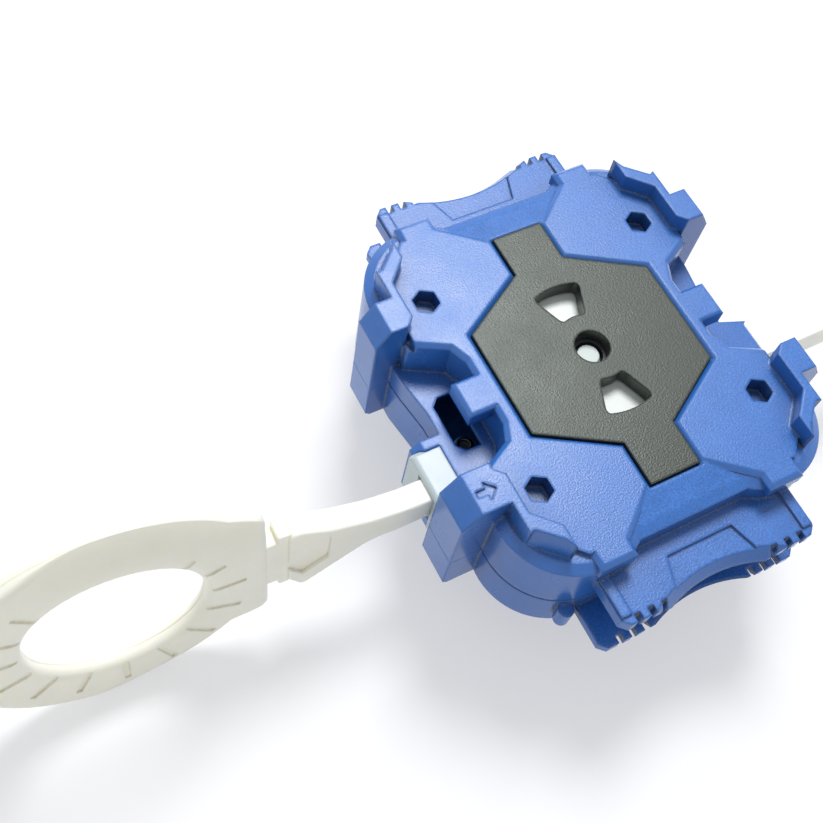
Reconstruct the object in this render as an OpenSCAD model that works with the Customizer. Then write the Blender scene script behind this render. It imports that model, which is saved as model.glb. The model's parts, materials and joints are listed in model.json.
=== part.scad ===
/* [Case] */
// Height of the corner ridges above the deck
ridge_h = 3.5; // [2.5:0.1:4.5]
// Depth of the drum rims below the deck
rim_drop = 2.2; // [1.8:0.1:2.6]
// Depth of the parting line below the deck
part_drop = 13.6; // [13:0.1:14.2]
// Whole depth of the case below the deck
case_depth = 23.5; // [23:0.1:24.5]
// Wall thickness of both shells
wall = 1.6; // [1.2:0.1:2]
// Thickness of the roof under the black plate
roof_t = 1.5; // [1.2:0.1:1.8]
// Thickness of the case floor
floor_t = 1.6; // [1.2:0.1:2]
// Radius of the round corner drums
drum_r = 13.1; // [12.6:0.1:13.6]
// Distance of a drum centre from the middle, along the winder
drum_x = 17.8; // [17.4:0.1:18.2]
// Distance of a drum centre from the middle, across the winder
drum_y = 22.1; // [21.6:0.1:22.6]
// Half width of the case at the middle of its winder sides
side_x = 29.2; // [28.8:0.1:29.6]
// Half width of the case beside its drums
shoulder_x = 30.5; // [30.3:0.1:30.6]
// Half length of the case at its grip sides
side_y = 33.1; // [32.8:0.1:33.4]
// Width of the bevel round the deck edges
deck_bevel = 0.8; // [0.4:0.1:1]
// Depth of the hex pockets in the deck
hex_depth = 3.2; // [2.6:0.1:3.6]
// Width of the hex pockets across their flats
hex_w = 4.2; // [3.6:0.1:4.6]

/* [Recess and mouth] */
// Depth of the side recesses below the deck
recess_drop = 8.0; // [7.6:0.1:8.2]
// Thickness of a recess floor
recess_t = 0.9; // [0.7:0.05:1]
// Half length of the release opening in the inlet recess
vent_y = 5.45; // [4.8:0.05:6]
// Reach of the release opening from the middle
vent_x = 27.65; // [27:0.05:27.8]
// Reach of the inlet frame from the middle
frame_x = 34.6; // [34:0.1:35.2]
// Reach of the plain corner blocks from the middle
block_x = 34.3; // [33.8:0.1:34.8]
// Reach of the marked inlet block from the middle
inlet_block_x = 36.8; // [36.2:0.1:37.4]

/* [Grip] */
// Half width of the upper grip flange
grip_x = 19.3; // [18.8:0.1:19.8]
// Reach of the grip flanges from the middle
grip_y = 43.8; // [43.4:0.1:44.2]
// Depth of the upper grip flange below the deck
grip_drop = 5.8; // [5.4:0.1:6.2]
// Thickness of the upper grip flange
grip_t = 2.8; // [2.4:0.1:3.2]
// Thickness of the lower grip flange
low_grip_t = 1.9; // [1.6:0.1:2.6]
// Depth of the lower grip flange below the deck
low_grip_drop = 16.7; // [16.4:0.1:17]
// Width of a grip notch
notch_w = 1.2; // [0.8:0.1:1.5]
// Spacing of the grip notches
notch_pitch = 2.6; // [2.3:0.1:2.8]
// Depth of the thumb panel
panel_depth = 0.5; // [0.3:0.1:0.8]

/* [Badge plate] */
// Thickness of the black plate
plate_t = 1.6; // [1.4:0.1:1.8]
// Half width of the plate's arms
arm_x = 4.9; // [4.6:0.1:5.2]
// Half length of the plate over its arms
arm_y = 26.2; // [25.6:0.1:26.6]
// Half length of the plate's hexagon
hex_y = 18.0; // [17.6:0.1:18.4]
// Half width of the plate's hexagon
hex_x = 18.1; // [17.6:0.1:18.4]
// Half length of the hexagon's side edges
hex_edge_y = 10.25; // [9.8:0.05:10.6]
// Inner radius of the viewing windows
window_r1 = 6.5; // [6.3:0.1:7]
// Outer radius of the viewing windows
window_r2 = 13.1; // [12.6:0.1:13.4]
// Half angle of the viewing windows
window_angle = 21; // [18:1:23]
// Thickness of the window collars
collar_t = 0.8; // [0.6:0.1:0.9]
// Depth of the window collars below the deck
collar_drop = 3.1; // [2.8:0.1:3.2]
// Radius of the centre hole
eye_r = 3.15; // [3:0.05:3.3]
// Depth of the centre hole's collar below the deck
eye_drop = 2.6; // [2.4:0.1:2.8]

/* [Winder] */
// Depth of the strip's top edge below the deck
strip_drop = 9.3; // [9.2:0.05:9.4]
// Height of the strip
strip_h = 6.6; // [6.4:0.1:6.8]
// Distance of the strip's front face from the middle
strip_front_y = 10.8; // [10.6:0.1:11]
// Thickness of the strip's web behind the teeth
web_t = 2.5; // [2.2:0.1:2.55]
// Height of the strip's rails
rail_h = 1.0; // [0.8:0.1:1.1]
// Distance of the strip's plain end from the middle
strip_end_x = 112; // [100:1:116]
// Distance of the handle's centre from the middle
ring_x = 88.8; // [87:0.1:92]
// Outer radius of the handle
ring_r = 25.4; // [24:0.1:27]
// Radius of the finger hole
finger_r = 14.4; // [13.5:0.1:16]
// Thickness of the handle
ring_t = 3.8; // [3.4:0.1:4.4]
// Distance of the handle's flat end from its centre
flat_x = 24.7; // [23:0.1:25.5]
// Length of the two steps of the collar beside the handle
collar_len = 3.4; // [3:0.1:4]
// Distance of the neck's thin end from the middle
neck_end_x = 46; // [43:0.5:48]
// Roll of the flexed handle about the strip, in degrees
flex_roll = -4.7; // [-6:0.1:0]
// Pitch of the flexed handle, in degrees
flex_pitch = 0.9; // [0:0.1:3]
// Yaw of the flexed handle, in degrees
flex_yaw = -2.5; // [-6:0.1:0]
// Depth of the grip grooves in the handle
groove_depth = 0.4; // [0.3:0.05:0.6]

/* [Drive] */
// Gear module, the pitch diameter divided by the teeth
gear_module = 1.0; // [0.98:0.01:1.02]
// Radius of the indicator disc under the windows
disc_r = 15; // [14.6:0.1:15.4]
// Thickness of the indicator disc
disc_t = 1.5; // [1.2:0.1:1.6]
// Depth of the indicator disc below the deck
disc_drop = 3.6; // [3.5:0.05:3.8]
// Outer radius of the spindle tube
spindle_r = 2.5; // [2.4:0.05:2.6]
// Radius of the ejector pin
pin_r = 1.4; // [1.2:0.05:1.45]
// Travel of the ejector pin
pin_travel = 3.0; // [2.5:0.1:3.2]
// Travel of the ratchet ring as it clicks over
click_travel = 1.1; // [0.9:0.1:1.2]
// Radius of the prong holder's neck
neck_r = 8.0; // [7.8:0.1:8.2]
// Outer radius of the prong holder's plate
holder_r = 13; // [12:0.1:13.5]
// Depth of the prong tips below the deck
prong_drop = 37.5; // [36.5:0.1:38.5]
// Thickness of a prong
prong_t = 2.2; // [2:0.1:2.6]
// Wire diameter of the ratchet spring
clutch_wire = 0.7; // [0.6:0.05:0.8]
// Wire diameter of the pin spring
pin_wire = 0.5; // [0.45:0.05:0.55]

/* [Fits] */
// Radial gap of a running fit
run_gap = 0.06; // [0.04:0.01:0.08]
// Gap between moving pieces that don't bear on each other
clear = 0.3; // [0.25:0.05:0.35]
// Gap round pieces that drop into a seat
seat_gap = 0.1; // [0.05:0.01:0.15]

/* [Hidden] */
// Overrun of every cut past the face that it opens
cut = 0.5;
// Overlap of pieces of one solid that are built up in steps
overlap = 1;
case_blue = [0.23, 0.38, 0.72];
plate_black = [0.12, 0.12, 0.12];
winder_cream = [0.90, 0.90, 0.85];
guide_white = [0.88, 0.92, 0.93];
steel_grey = [0.70, 0.70, 0.72];
bush_bronze = [0.80, 0.62, 0.25];
bush_black = [0.10, 0.10, 0.11];
inner_white = [0.95, 0.95, 0.93];
dark_plastic = [0.25, 0.25, 0.28];

// Outlines: points run anticlockwise. Inset moves each edge inwards by d.
function unit(v) = v / norm(v);
function mitre(a, b, c, d) = let (u = unit(b - a), v = unit(c - b), m = [-u.y, u.x], n = [-v.y, v.x])
    b + d * (m + n) / (1 + m * n);
function inset(points, d) = [for (i = [0 : len(points) - 1])
    mitre(points[(i + len(points) - 1) % len(points)], points[i], points[(i + 1) % len(points)], d)];
// A whole outline from the points in its first quarter
function all_round(q) = concat(q, [for (i = [len(q) - 1 : -1 : 0]) [-q[i].x, q[i].y]], [for (p = q) -p],
    [for (i = [len(q) - 1 : -1 : 0]) [q[i].x, -q[i].y]]);

mitre_lap = 0.03;
// Wedges that bevel chosen top edges of an outline, mitred at its corners. Run is measured inwards
// and drop downwards. With groove set, the wedge lies outside the outline, as round a pocket.
module edge_cuts(points, edges, z, run, drop, groove = false) {
    n = len(points);
    k = drop / run;
    side = groove ? -1 : 1;
    near = -2 * side * cut;
    far = side * (run + 2 * cut);
    for (i = edges) {
        a = points[i];
        b = points[(i + 1) % n];
        before = points[(i + n - 1) % n];
        after = points[(i + 2) % n];
        lap = mitre_lap * unit(b - a);
        intersection() {
            translate([a.x, a.y, z]) rotate(atan2(b.y - a.y, b.x - a.x)) translate([-2 * run, 0, 0])
                rotate([90, 0, 90]) linear_extrude(norm(b - a) + 4 * run)
                    polygon(groove ? [[cut, -drop - cut * k], [cut, cut * k], [-run - cut, cut * k]]
                        : [[run + cut, cut * k], [-cut, cut * k], [-cut, -drop - cut * k]]);
            translate([0, 0, z - 2 * drop]) linear_extrude(4 * drop) polygon([mitre(before, a, b, near) - lap,
                mitre(a, b, after, near) + lap, mitre(a, b, after, far) + lap, mitre(before, a, b, far) - lap]);
        }
    }
}

// The same thing in all four quarters, or on two sides
module quarters() {
    for (sx = [0, 1], sy = [0, 1]) mirror([sx, 0, 0]) mirror([0, sy, 0]) children();
}
module front_and_back() {
    for (s = [0, 1]) mirror([0, s, 0]) children();
}
module left_and_right() {
    for (s = [0, 1]) mirror([s, 0, 0]) children();
}
// A flat outline between two heights
module between(z_low, z_high) {
    translate([0, 0, z_low]) linear_extrude(z_high - z_low) children();
}
// A profile in X and Z, carried along Y
module along_y(y_low, y_high) {
    translate([0, y_high, 0]) rotate([90, 0, 0]) linear_extrude(y_high - y_low) children();
}
// A profile in Y and Z, carried along X
module along_x(x_low, x_high) {
    translate([x_low, 0, 0]) rotate([90, 0, 90]) linear_extrude(x_high - x_low) children();
}
// An upright rod or ring between two heights
module rod(z_low, z_high, r, sides = 48) {
    translate([0, 0, z_low]) cylinder(h = z_high - z_low, r = r, $fn = sides);
}

// Levels of the case
part_z = -part_drop;
bottom_z = -case_depth;
floor_z = bottom_z + floor_t;
rim_z = -rim_drop;
recess_z = -recess_drop;
roof_z = -plate_t - roof_t;
// Thin groove along the parting line
lip_h = 0.25;
lip_in = 0.3;
// Sloped shoulder on top of each drum, and the chamfer under the case
slope_h = 1.2;
slope_w = 1.6;
base_chamfer = 1.0;
small_bevel = 0.5;

// Outline of the case walls, without its drums
wall_corner_x = 11.4;
wall_tab_y = 3.4;
wall_shoulder_y1 = 12;
wall_shoulder_y2 = 18;
wall_turn = [23, 21];
wall_outline = all_round([[side_x, wall_tab_y], [shoulder_x, wall_shoulder_y1], [shoulder_x, wall_shoulder_y2],
    wall_turn, [wall_corner_x, side_y]]);

module drums(d = 0) {
    quarters() translate([drum_x, drum_y]) rotate(45) circle(drum_r - d, $fn = 72);
}
module case_plan(d = 0) {
    drums(d);
    polygon(inset(wall_outline, d));
}

// Outline of the raised deck, from the recess round each lobe to the plate's arm
deck_x = 27.8;
deck_y1 = 10;
deck_y2 = 24.6;
lobe_turn = [20.2, 32.3];
lobe_x1 = 13.1;
lobe_x2 = 20;
lobe_y = 35.4;
lobe_foot = [13, 32.7];
arm_gap_x = 0.3;
arm_gap_y = 0.2;
deck_points = all_round([[deck_x, deck_y1], [deck_x, deck_y2], lobe_turn, [lobe_x2, lobe_y], [lobe_x1, lobe_y],
    lobe_foot, [arm_x + arm_gap_x, arm_y + arm_gap_y]]);
// The deck's bevelled edges run from the ridge tip to the plate's arm in each quarter
deck_edges = [for (half = [0, 14], i = [2, 3, 4, 5, 7, 8, 9, 10]) half + i];
plate_points = all_round([[hex_x, hex_edge_y], [arm_x, hex_y], [arm_x, arm_y]]);

module deck() {
    difference() {
        between(roof_z, 0) polygon(deck_points);
        edge_cuts(deck_points, deck_edges, 0, deck_bevel, deck_bevel);
    }
}

// Blocks beside the two recesses, and the raised ridge that runs on from each
block_in_x = 28.6;
block_y1 = 14.2;
block_y2 = 20.5;
block_slope = 2.5;
inlet_slope = 3;
inlet_widen = 1.2;
ridge_foot = 1.2;
ridge_out = 1.27;
ridge_run = 0.9;
ridge_x1 = 23.1;
ridge_x2 = 27;
ridge_x3 = 31.8;
ridge_y1 = 15.8;
ridge_y2 = 23.1;
ridge_y3 = 25;
ridge_y4 = 27.1;
ridge_y5 = 30.1;
ridge_low = [[ridge_x1, ridge_y4], [ridge_x2, ridge_y2], [ridge_x2, ridge_y1], [block_in_x, block_y1],
    [ridge_x3, block_y1], [ridge_x3, block_y2], [block_in_x, block_y2], [block_in_x, ridge_y3 + ridge_out],
    [ridge_x1, ridge_y5 + ridge_out]];

module ridge() {
    difference() {
        between(-ridge_foot, ridge_h) polygon(ridge_low);
        edge_cuts(ridge_low, [7], ridge_h, ridge_run, ridge_h + ridge_foot);
    }
}
module block(reach, y1, y2, slope) {
    along_y(y1, y2) polygon([[block_in_x, part_z], [reach, part_z], [reach, -small_bevel],
        [reach - slope, ridge_h], [block_in_x, ridge_h]]);
}

// Engraved arrow on the inlet block, which shows where the winder goes in
mark_x = 31.3;
mark_y = 17.2;
mark_depth = 0.35;
mark_len = 3.6;
mark_half = 1.7;
mark_stem = 0.6;
module inlet_mark() {
    translate([-mark_x, -mark_y, ridge_h - mark_depth]) linear_extrude(mark_depth + cut)
        polygon([[-mark_len / 2, -mark_stem], [0, -mark_stem], [0, -mark_half], [mark_len / 2, 0],
            [0, mark_half], [0, mark_stem], [-mark_len / 2, mark_stem]]);
}

// Recess in each winder side, and the tab that stands in it
tab_x = 21.3;
tab_reach = 25.8;
tab_half = 3.4;
tab_t = 3.3;
recess_y1 = 6.3;
recess_turn = [22.6, 9.4];
recess_x2 = 29;
recess_y2 = 12.8;
recess_far_x = inlet_block_x + overlap;
recess_points = [[tab_x, -recess_y1], [recess_turn.x, -recess_turn.y], [recess_x2, -recess_y2],
    [recess_x2, -block_y1], [recess_far_x, -block_y1], [recess_far_x, block_y1], [recess_x2, block_y1],
    [recess_x2, recess_y2], recess_turn, [tab_x, recess_y1]];
recess_edges = [0, 1, 7, 8, 9];

module tab() {
    points = [[tab_x - overlap, -tab_half], [tab_reach, -tab_half], [tab_reach, tab_half],
        [tab_x - overlap, tab_half]];
    difference() {
        between(-tab_t, 0) polygon(points);
        edge_cuts(points, [0, 1, 2], 0, small_bevel, small_bevel);
    }
}
module recess_void(z_low, grow) {
    between(z_low, ridge_h + cut) polygon(inset(recess_points, -grow));
}

// Levels and sides of the slot that the winder strip runs in
strip_top = -strip_drop;
strip_low = strip_top - strip_h;
strip_mid = (strip_top + strip_low) / 2;
gear_teeth = 14;
tooth_addendum = 0.9 * gear_module;
tooth_dedendum = 1.2 * gear_module;
tooth_half = 0.55 * gear_module;
pressure_angle = 20;
pitch_r = gear_module * gear_teeth / 2;
rack_pitch = PI * gear_module;
tooth_tip_y = pitch_r - tooth_addendum;
slot_top = strip_top + clear;
slot_low = strip_low - clear;
slot_front_y = strip_front_y + clear;
slot_back_y = tooth_tip_y - clear;
slot_half_x = inlet_block_x + overlap;

module strip_way(z_low, z_high) {
    translate([-slot_half_x, -slot_front_y, z_low])
        cube([2 * slot_half_x, slot_front_y - slot_back_y, z_high - z_low]);
}

// Screws of the case, under the hex pockets
screw_x = 22.1;
screw_y = 19.3;
boss_r = 3.0;
pilot_r = 1.0;
pilot_depth = 7.5;
screw_head_r = 2.0;
screw_head_t = 1.6;
head_recess = 1.4;
head_gap = 0.3;
shank_gap = 0.15;
thread_bite = 0.05;
module at_screws() {
    quarters() translate([screw_x, screw_y]) children();
}

// White guide in the mouth, and the frame round it
guide_x1 = 30.2;
guide_x2 = 35.5;
guide_y1 = 2.2;
guide_y2 = 12.7;
guide_lift = 4;
guide_low = bottom_z + guide_lift;
guide_bevel = 0.8;
frame_y1 = 0.8;
frame_chamfer = 1.7;
frame_in_x = 27.5;

module guide_shape(gap) {
    along_x(-guide_x2 - gap, -guide_x1 + gap) polygon([[-guide_y2 - gap, guide_low - gap],
        [-guide_y1 + gap, guide_low - gap], [-guide_y1 + gap, recess_z - guide_bevel],
        [-guide_y1 - guide_bevel, recess_z + gap], [-guide_y2 + guide_bevel, recess_z + gap],
        [-guide_y2 - gap, recess_z - guide_bevel]]);
}
module mouth_profile(z_low) {
    polygon([[-frame_x, z_low], [-frame_in_x, z_low], [-frame_in_x, recess_z],
        [-frame_x + frame_chamfer, recess_z], [-frame_x, recess_z - frame_chamfer]]);
}

// Frame of the plain end's mouth, with a slanted end and a bevelled outer edge
exit_x = 34;
exit_bevel = 0.9;
exit_y1 = 3.6;
exit_y2 = 1.2;
exit_points = [[frame_in_x, -block_y1 - overlap], [exit_x, -block_y1 - overlap], [exit_x, -exit_y1],
    [frame_in_x, -exit_y2]];
module exit_frame() {
    difference() {
        between(part_z, recess_z) polygon(exit_points);
        edge_cuts(exit_points, [1], recess_z, exit_bevel, exit_bevel);
    }
}

// Release opening in the floor of the inlet recess
vent_in_x = 23.4;
vent_corner = 1.45;
vent_deep = 2;
module vent() {
    between(recess_z - vent_deep, recess_z + cut) polygon([[-vent_x, -vent_y + vent_corner],
        [-vent_x + vent_corner, -vent_y], [-vent_in_x, -vent_y], [-vent_in_x, vent_y],
        [-vent_x + vent_corner, vent_y], [-vent_x, vent_y - vent_corner]]);
}
// Screw and boss that show through the release opening
vent_boss_x = 25;
vent_boss_y = 3.3;
vent_boss_top = -12;
vent_boss_r = 2;
vent_screw_r = 0.65;
vent_screw_len = 4.5;
vent_head_r = 1.6;
vent_head_t = 1;

// Grip flange: notched front edge, end ribs, thumb panel and a scooped middle
grip_root_y = side_y - 2 * wall;
grip_corner = 1.3;
low_grip_extra = 1;
panel_in_y = 36.5;
panel_in_x = 6.5;
panel_x = 8.5;
panel_y = 42.7;
scoop_sag = 1.5;
scoop_top_sag = 3.9;
scoop_r = (panel_x * panel_x + scoop_sag * scoop_sag) / (2 * scoop_sag);
scoop_y = grip_y - scoop_sag + scoop_r;
scoop_top_r = scoop_y - grip_y + scoop_top_sag;
notch_x = 11.1;
notch_count = 3;
notch_len = 1.4;
rib_w = 1.9;
rib_h = 0.5;
rib_edge = 0.2;
rib_start = 4;
rib_stop = 1.5;

module grip(half_x, t) {
    difference() {
        union() {
            between(-t, 0) polygon([[-half_x, grip_root_y], [half_x, grip_root_y],
                [half_x, grip_y - grip_corner], [half_x - grip_corner, grip_y],
                [grip_corner - half_x, grip_y], [-half_x, grip_y - grip_corner]]);
            left_and_right() between(-t, rib_h)
                translate([half_x - rib_w - rib_edge, grip_root_y + rib_start])
                    square([rib_w, grip_y - rib_stop - grip_root_y - rib_start]);
        }
        left_and_right() for (i = [0 : notch_count - 1]) between(-t - cut, cut)
            translate([notch_x + i * notch_pitch - notch_w / 2, grip_y - notch_len])
                square([notch_w, 2 * notch_len]);
        between(-panel_depth, cut) polygon([[-panel_in_x, panel_in_y], [panel_in_x, panel_in_y],
            [panel_x, panel_y], [-panel_x, panel_y]]);
        translate([0, scoop_y, -t - cut])
            cylinder(h = t + 2 * cut, r1 = scoop_r, r2 = scoop_top_r, $fn = 180);
    }
}

// Sloped facet between two lobes, from the plate's arm down to the grip flange
facet_in_y = 20;
facet_z1 = -0.3;
facet_y2 = 31.4;
facet_z2 = -1.2;
facet_lip = 0.2;
module facet() {
    along_x(-wall_corner_x, wall_corner_x) polygon([[facet_in_y, roof_z], [side_y, roof_z],
        [side_y, rim_z + facet_lip], [facet_y2, facet_z2], [arm_y, facet_z1], [facet_in_y, facet_z1]]);
}

module outer_upper() {
    between(part_z + lip_h, rim_z) case_plan();
    between(part_z, part_z + lip_h) case_plan(lip_in);
    quarters() {
        translate([drum_x, drum_y, rim_z]) rotate(45)
            cylinder(h = slope_h, r1 = drum_r, r2 = drum_r - slope_w, $fn = 72);
        ridge();
    }
    deck();
    front_and_back() {
        facet();
        translate([0, 0, -grip_drop]) grip(grip_x, grip_t);
    }
}

// Tube under the roof that carries the upper bush
bush_r = 3.9;
tube_r = 4.8;
bush_h = 3.7;
bush_proud = 0.2;
tube_bore_r = bush_r + run_gap;
bush_top = -eye_drop - seat_gap;
bush_low = bush_top - bush_h;
tube_low = bush_low + bush_proud;

module upper_solid() {
    difference() {
        outer_upper();
        difference() {
            between(part_z - cut, roof_z) case_plan(wall);
            left_and_right() recess_void(recess_z - recess_t, wall);
        }
        left_and_right() {
            recess_void(recess_z, 0);
            edge_cuts(recess_points, recess_edges, 0, deck_bevel, deck_bevel, true);
        }
    }
    left_and_right() tab();
    front_and_back() block(block_x, block_y1, block_y2, block_slope);
    mirror([1, 0, 0]) {
        block(block_x, block_y1, block_y2, block_slope);
        mirror([0, 1, 0]) block(inlet_block_x, block_y1 - inlet_widen, block_y2, inlet_slope);
    }
    along_y(-block_y1, -frame_y1) mouth_profile(part_z);
    exit_frame();
    rod(tube_low, roof_z + cut, tube_r, 64);
    at_screws() rod(part_z, roof_z + cut, boss_r, 32);
}

// A viewing window on each side of the middle, grown for its collar and its seat
window_far = 4 * window_r2;
module windows(grow) {
    front_and_back() difference() {
        intersection() {
            circle(window_r2 + grow, $fn = 96);
            polygon([[0, -grow], [window_far * sin(window_angle) + 2 * grow, window_far * cos(window_angle)],
                [-window_far * sin(window_angle) - 2 * grow, window_far * cos(window_angle)]]);
        }
        circle(window_r1 - grow, $fn = 64);
    }
}

seat_points = inset(plate_points, -seat_gap);
hex_turn = 30;
plate_groove = 0.8;
module upper_case() {
    color(case_blue) difference() {
        upper_solid();
        between(-plate_t, cut) polygon(seat_points);
        edge_cuts(seat_points, [for (i = [0 : len(seat_points) - 1]) i], 0, plate_groove, plate_groove, true);
        between(roof_z - cut, 0) windows(collar_t + seat_gap);
        rod(tube_low - cut, 0, tube_bore_r);
        at_screws() rotate(hex_turn) rod(-hex_depth, cut, hex_w / sqrt(3), 6);
        at_screws() rod(part_z - cut, part_z + pilot_depth, pilot_r, 24);
        strip_way(part_z - cut, slot_top);
        guide_shape(seat_gap);
        vent();
        inlet_mark();
    }
}

// Lower case: floor, bosses, rails beside the slot, and knobs under the grip
bore_r = neck_r + run_gap;
bush_wall = 1.2;
bush_flange = 1.2;
bush_flange_t = 0.5;
head_well = 3;
rail_x = 20;
rail_len = 8;
rail_t = 1.2;
shelf_in = 1;
knob_x = 22.6;
knob_y = 35.3;
knob_r = 1.4;
knob_low = -19.5;
knob_top = -15;

module lower_outer() {
    between(bottom_z + base_chamfer, part_z - lip_h) case_plan();
    between(part_z - lip_h, part_z) case_plan(lip_in);
    quarters() translate([drum_x, drum_y, bottom_z]) rotate(45)
        cylinder(h = base_chamfer, r1 = drum_r - base_chamfer, r2 = drum_r, $fn = 72);
    between(bottom_z, bottom_z + base_chamfer + cut) polygon(wall_outline);
    front_and_back() translate([0, 0, -low_grip_drop - low_grip_t]) mirror([0, 0, 1])
        grip(grip_x + low_grip_extra, low_grip_t);
}

module lower_block(reach, y1, y2) {
    along_y(y1, y2) polygon([[block_in_x, bottom_z], [reach - base_chamfer, bottom_z],
        [reach, bottom_z + base_chamfer], [reach, part_z], [block_in_x, part_z]]);
}

module lower_solid() {
    difference() {
        lower_outer();
        between(floor_z, part_z + cut) case_plan(wall);
    }
    front_and_back() lower_block(block_x, block_y1, block_y2);
    mirror([1, 0, 0]) {
        lower_block(block_x, block_y1, block_y2);
        mirror([0, 1, 0]) lower_block(inlet_block_x, block_y1 - inlet_widen, block_y2);
    }
    along_y(-block_y1, -frame_y1) polygon([[-frame_x, bottom_z + base_chamfer],
        [-frame_x + base_chamfer, bottom_z], [-frame_in_x, bottom_z], [-frame_in_x, part_z],
        [-frame_x, part_z]]);
    between(bottom_z + base_chamfer, part_z) polygon(exit_points);
    at_screws() rod(bottom_z, part_z, boss_r, 32);
    for (s = [-1, 1]) translate([s * rail_x - rail_len / 2, -slot_front_y - rail_t, floor_z - cut]) {
        cube([rail_len, rail_t, strip_top - floor_z + cut]);
        cube([rail_len, slot_front_y - slot_back_y + rail_t, slot_low - floor_z + cut]);
    }
    translate([-vent_boss_x, -vent_boss_y]) rod(floor_z - cut, vent_boss_top, vent_boss_r, 32);
    quarters() translate([knob_x, knob_y]) rod(knob_low, knob_top, knob_r, 32);
}

module lower_case() {
    color(case_blue) {
        difference() {
            lower_solid();
            strip_way(slot_low, part_z + cut);
            guide_shape(seat_gap);
            rod(bottom_z - cut, floor_z + cut, bore_r + bush_wall + run_gap, 96);
            at_screws() rod(bottom_z - cut, bottom_z + head_well, screw_head_r + head_gap, 32);
            at_screws() rod(bottom_z, part_z + cut, shank_gap + pilot_r, 32);
            translate([-vent_boss_x, -vent_boss_y])
                rod(vent_boss_top - vent_screw_len - overlap, vent_boss_top + cut,
                    vent_screw_r + thread_bite, 24);
        }
        along_x(-guide_x2 + shelf_in, -guide_x1) polygon([[-slot_front_y, bottom_z + shelf_in],
            [-slot_back_y, bottom_z + shelf_in], [-slot_back_y, slot_low], [-slot_front_y, slot_low]]);
    }
}

// Black plate with two window collars and a collar round its centre hole
collar_top_z = -0.3;
module badge_plate() {
    color(plate_black) difference() {
        union() {
            between(-plate_t, 0) polygon(plate_points);
            between(-collar_drop, collar_top_z) windows(collar_t);
            rod(-eye_drop, collar_top_z, bush_r);
        }
        between(-collar_drop - cut, cut) windows(0);
        rod(-eye_drop - cut, cut, eye_r);
    }
}

module winder_guide() {
    color(guide_white) difference() {
        guide_shape(0);
        translate([-guide_x2 - cut, -slot_front_y, guide_low - cut])
            cube([guide_x2 - guide_x1 + 2 * cut, slot_front_y - slot_back_y, slot_top - guide_low + cut]);
    }
}

// Winder strip: web, two rails and the rack's teeth between them
strip_back_gap = 0.3;
strip_back_y = tooth_tip_y + strip_back_gap;
rack_end = 3;
rack_start = -34;
rack_count = floor((strip_end_x - rack_end - rack_start) / rack_pitch);
rack_first = ceil(rack_start / rack_pitch) + 0.5;
tooth_h = tooth_addendum + tooth_dedendum;
flex_x = guide_x2 + clear;

module rack_tooth() {
    tip = tooth_half - tan(pressure_angle) * tooth_addendum;
    root = tooth_half + tan(pressure_angle) * tooth_dedendum;
    root_y = -tooth_tip_y - tooth_h;
    polygon([[-root, root_y - cut], [root, root_y - cut], [root, root_y], [tip, -tooth_tip_y],
        [-tip, -tooth_tip_y], [-root, root_y]]);
}
module strip_box(x_low, x_high, z_low, z_high, t) {
    translate([x_low, -strip_front_y, z_low]) cube([x_high - x_low, t, z_high - z_low]);
}

// The handle, bent away from the strip's line by the play and flex of the moulding
module flexed() {
    pivot = [-flex_x, -strip_front_y, strip_mid];
    translate(pivot) rotate([flex_roll, flex_pitch, flex_yaw]) translate(-pivot) children();
}

ring_mid_y = 8.6;
ring_edge = 0.8;
hole_flare = 0.7;
flat_half = 13.7;
blend_share = 0.35;
blend_high_share = 0.88;
groove_count = 13;
groove_step = 22.5;
groove_start = -43;
groove_len = 6.2;
groove_gap = 1;
groove_wide = 0.8;

// Sets a shape drawn in the handle's own plane upright in its place
module in_ring() {
    translate([-ring_x, -ring_mid_y, strip_mid]) rotate([90, 0, 0]) children();
}
module ring_body() {
    half = ring_t / 2;
    blend = [ring_r * blend_share, ring_r * blend_high_share];
    rotate_extrude($fn = 128) polygon([[finger_r, -half + hole_flare], [finger_r + hole_flare, -half],
        [ring_r - ring_edge, -half], [ring_r, -half + ring_edge], [ring_r, half - ring_edge],
        [ring_r - ring_edge, half], [finger_r + hole_flare, half], [finger_r, half - hole_flare]]);
    difference() {
        translate([0, 0, -half]) linear_extrude(ring_t) polygon([[blend.x, -blend.y], [flat_x, -flat_half],
            [flat_x, flat_half], blend]);
        translate([0, 0, -ring_t]) cylinder(h = 2 * ring_t, r = finger_r + 2 * hole_flare, $fn = 96);
    }
}
module handle_ring() {
    in_ring() difference() {
        ring_body();
        translate([flat_x, -2 * ring_r, -ring_t]) cube([ring_r, 4 * ring_r, 2 * ring_t]);
        for (i = [0 : groove_count - 1]) rotate(-groove_start - i * groove_step)
            translate([finger_r + groove_gap, -groove_wide / 2, ring_t / 2 - groove_depth])
                cube([groove_len, groove_wide, groove_depth + cut]);
    }
}

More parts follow.
